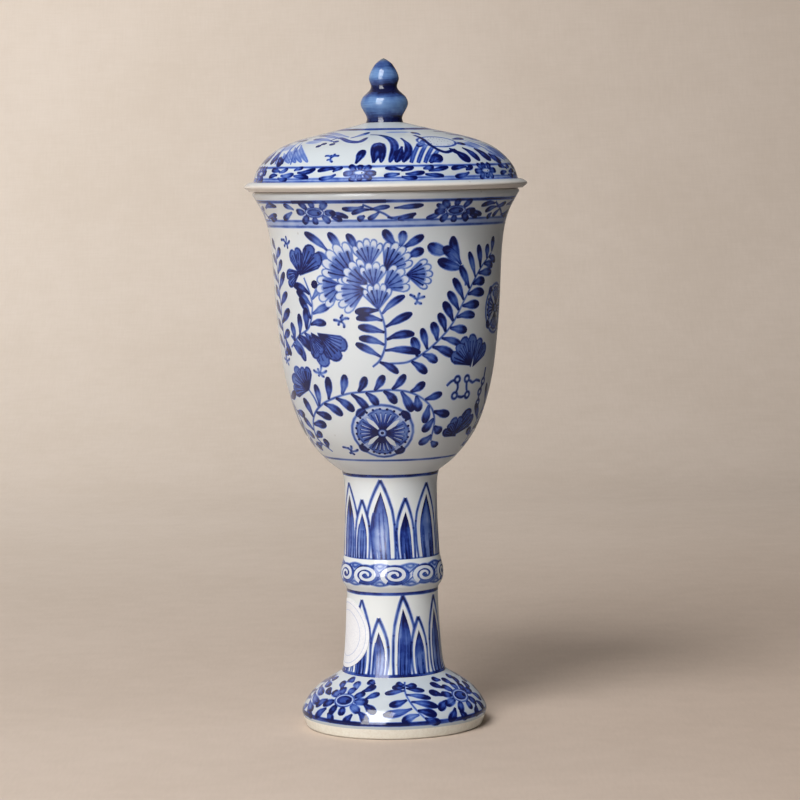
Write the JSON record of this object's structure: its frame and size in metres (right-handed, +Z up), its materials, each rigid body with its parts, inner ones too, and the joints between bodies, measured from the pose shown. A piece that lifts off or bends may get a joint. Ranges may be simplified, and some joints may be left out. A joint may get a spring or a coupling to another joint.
{
  "type": "covered stem cup",
  "caption": "Blue-painted porcelain stem cup: bell-shaped bowl on a hollow ringed stem and spread foot, with a lift-off domed cover and bulbed knop.",
  "frame": {"origin": "centre of the standing face of the foot", "axes": "+Z up along the cup's axis, towards the knop; -Y is the side that faces the viewer of the picture"},
  "size_m": [0.1098, 0.1098, 0.26],
  "materials": {
    "painted_porcelain": "clear glossy glaze over cobalt-blue brush painting on white porcelain",
    "blue_glaze": "clear glossy glaze over a streaky cobalt-blue wash",
    "bare_clay": "unglazed cream porcelain body, matt",
    "label_paper": "plain white gummed paper"
  },
  "bodies": {
    "cup": {"foot": "painted_porcelain", "lower_stem": "painted_porcelain", "stem_ring": "painted_porcelain", "upper_stem": "painted_porcelain", "bowl": "painted_porcelain", "paper_label": "label_paper"},
    "cover": {"cover": "painted_porcelain", "locating_collar": "bare_clay", "knop": "blue_glaze"}
  },
  "joints": [
    {"name": "cover_lift", "type": "slide", "parent": "cup", "child": "cover", "axis": [0, 0, 1], "range_m": [0, 0.14]}
  ]
}
